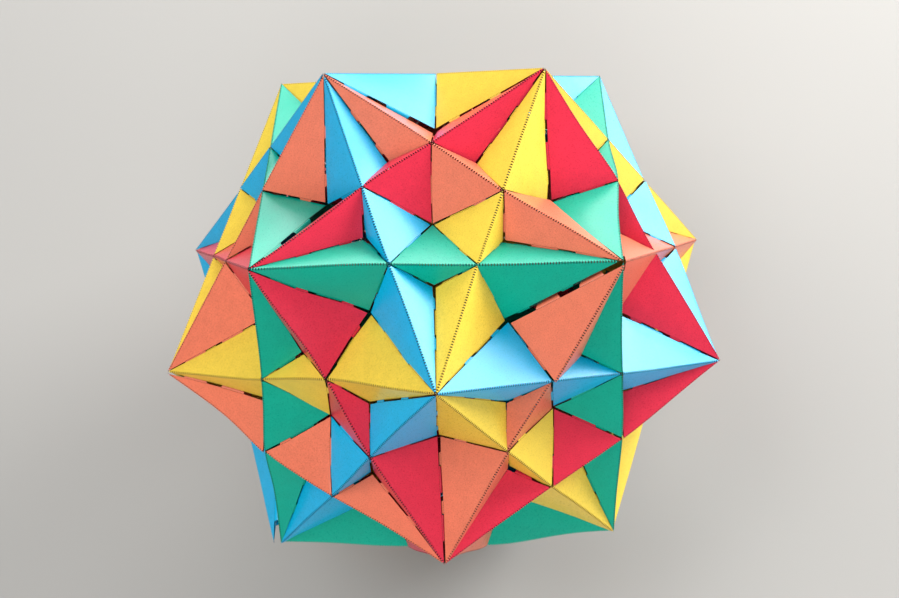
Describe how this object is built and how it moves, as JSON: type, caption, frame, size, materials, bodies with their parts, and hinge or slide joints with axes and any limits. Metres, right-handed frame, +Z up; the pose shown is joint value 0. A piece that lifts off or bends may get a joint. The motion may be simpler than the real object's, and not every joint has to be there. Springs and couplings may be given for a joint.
{
  "type": "modular paper star",
  "caption": "Hollow paper star of interlocking cubes, built from folded coloured card modules that hold each other by tabs turned into the valleys.",
  "frame": {"origin": "on the axis of fivefold symmetry, at the level of the lowest ridges", "axes": "+Z up along an axis of fivefold symmetry through a dimple, +Y towards a point of the lower ring, -Y towards a point of the upper ring"},
  "size_m": [0.2102, 0.221, 0.1789],
  "materials": {
    "green_card": "uncoated dyed card, sea green",
    "yellow_card": "uncoated dyed card, canary yellow",
    "orange_card": "uncoated dyed card, soft salmon orange",
    "red_card": "uncoated dyed card, crimson red",
    "blue_card": "uncoated dyed card, sky blue"
  },
  "bodies": {
    "root": {"green_edge_01": "green_card", "green_edge_02": "green_card", "green_edge_03": "green_card", "green_edge_04": "green_card", "green_edge_05": "green_card", "green_edge_06": "green_card", "green_edge_07": "green_card", "green_edge_08": "green_card", "green_edge_09": "green_card", "green_edge_10": "green_card", "green_edge_11": "green_card", "green_edge_12": "green_card", "yellow_edge_01": "yellow_card", "yellow_edge_02": "yellow_card", "yellow_edge_03": "yellow_card", "yellow_edge_04": "yellow_card", "yellow_edge_05": "yellow_card", "yellow_edge_06": "yellow_card", "yellow_edge_07": "yellow_card", "yellow_edge_08": "yellow_card", "yellow_edge_09": "yellow_card", "yellow_edge_10": "yellow_card", "yellow_edge_11": "yellow_card", "yellow_edge_12": "yellow_card", "orange_edge_01": "orange_card", "orange_edge_02": "orange_card", "orange_edge_03": "orange_card", "orange_edge_04": "orange_card", "orange_edge_05": "orange_card", "orange_edge_06": "orange_card", "orange_edge_07": "orange_card", "orange_edge_08": "orange_card", "orange_edge_09": "orange_card", "orange_edge_10": "orange_card", "orange_edge_11": "orange_card", "orange_edge_12": "orange_card", "red_edge_01": "red_card", "red_edge_02": "red_card", "red_edge_03": "red_card", "red_edge_04": "red_card", "red_edge_05": "red_card", "red_edge_06": "red_card", "red_edge_07": "red_card", "red_edge_08": "red_card", "red_edge_09": "red_card", "red_edge_10": "red_card", "red_edge_11": "red_card", "red_edge_12": "red_card", "blue_edge_01": "blue_card", "blue_edge_02": "blue_card", "blue_edge_03": "blue_card", "blue_edge_04": "blue_card", "blue_edge_05": "blue_card", "blue_edge_06": "blue_card", "blue_edge_07": "blue_card", "blue_edge_08": "blue_card", "blue_edge_09": "blue_card", "blue_edge_10": "blue_card", "blue_edge_11": "blue_card", "blue_edge_12": "blue_card"}
  },
  "joints": []
}
